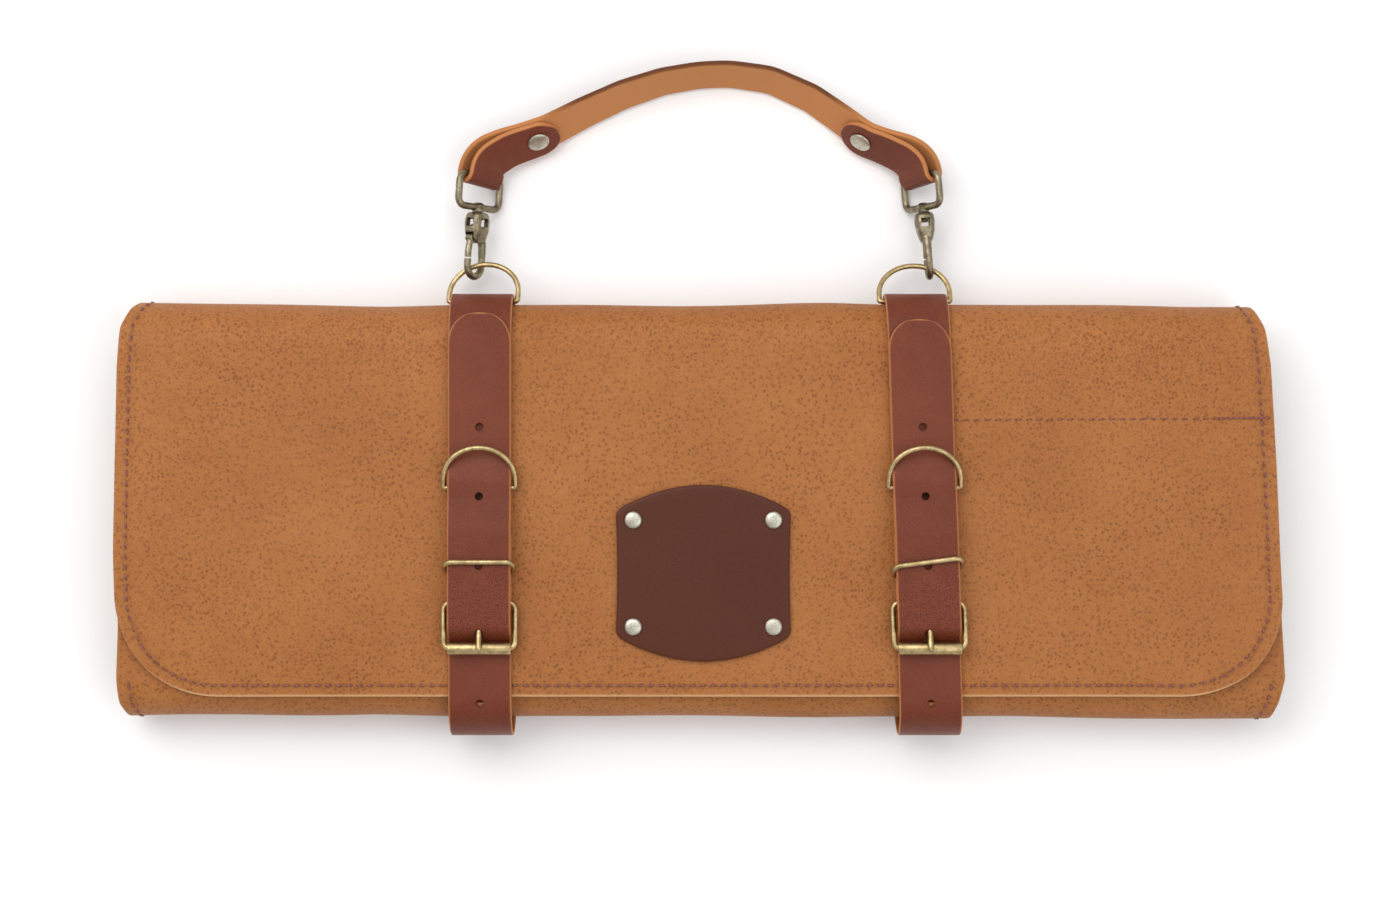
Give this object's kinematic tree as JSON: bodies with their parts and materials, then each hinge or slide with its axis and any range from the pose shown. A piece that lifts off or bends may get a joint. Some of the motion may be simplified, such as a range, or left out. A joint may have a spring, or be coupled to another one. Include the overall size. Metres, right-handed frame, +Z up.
{
  "type": "leather chef knife roll with belts and a clip-on handle",
  "caption": "Rolled leather knife case lying flat, closed by two buckled belts, with D-rings, a riveted patch and a strap handle on snap hooks.",
  "frame": {"origin": "middle of the bounding box on the surface it lies on", "axes": "+X along the roll, +Y from the roll towards the carrying handle, +Z up out of the front flap"},
  "size_m": [0.4838, 0.2842, 0.0468],
  "materials": {
    "tan_leather": "satin",
    "red_brown_leather": "satin",
    "dark_brown_leather": "satin",
    "brass": "satin",
    "dark_brass": "satin",
    "nickel": "satin"
  },
  "bodies": {
    "root": {"roll_sheet": "tan_leather", "patch": "dark_brown_leather", "handle_strap": "red_brown_leather", "patch_rivet_upper_left": "nickel", "patch_rivet_upper_right": "nickel", "patch_rivet_lower_left": "nickel", "patch_rivet_lower_right": "nickel", "left_belt": "red_brown_leather", "left_buckle_frame": "brass", "left_buckle_roller": "brass", "left_buckle_prong": "brass", "left_keeper": "brass", "left_mid_d_ring": "brass", "left_top_d_ring": "brass", "left_hook_eye": "dark_brass", "left_handle_rivet": "nickel", "right_belt": "red_brown_leather", "right_buckle_frame": "brass", "right_buckle_roller": "brass", "right_buckle_prong": "brass", "right_keeper": "brass", "right_mid_d_ring": "brass", "right_top_d_ring": "brass", "right_hook_eye": "dark_brass", "right_handle_rivet": "nickel"},
    "left_hook": {"left_hook_body": "dark_brass"},
    "left_gate": {"left_hook_gate": "dark_brass"},
    "right_hook": {"right_hook_body": "dark_brass"},
    "right_gate": {"right_hook_gate": "dark_brass"}
  },
  "joints": [
    {"name": "left_hook_swivel", "type": "hinge", "parent": "root", "child": "left_hook", "pos_m": [-0.09311, 0.07737, 0.0118], "axis": [-0.0698, -0.9976, 0], "range_deg": [-50, 8]},
    {"name": "left_gate_hinge", "type": "hinge", "parent": "left_hook", "child": "left_gate", "pos_m": [-0.09579, 0.06633, 0.01462], "axis": [-0.8276, 0.0579, -0.5582], "range_deg": [-28, 0], "stiffness_Nm_per_rad": 0.01, "springref_deg": 20.05},
    {"name": "right_hook_swivel", "type": "hinge", "parent": "root", "child": "right_hook", "pos_m": [0.09467, 0.07736, 0.0118], "axis": [0.0896, -0.996, 0], "range_deg": [-8, 30]},
    {"name": "right_gate_hinge", "type": "hinge", "parent": "right_hook", "child": "right_gate", "pos_m": [0.09568, 0.06621, 0.0084], "axis": [0.996, 0.0896, 0], "range_deg": [-28, 0], "stiffness_Nm_per_rad": 0.01, "springref_deg": 20.05}
  ]
}
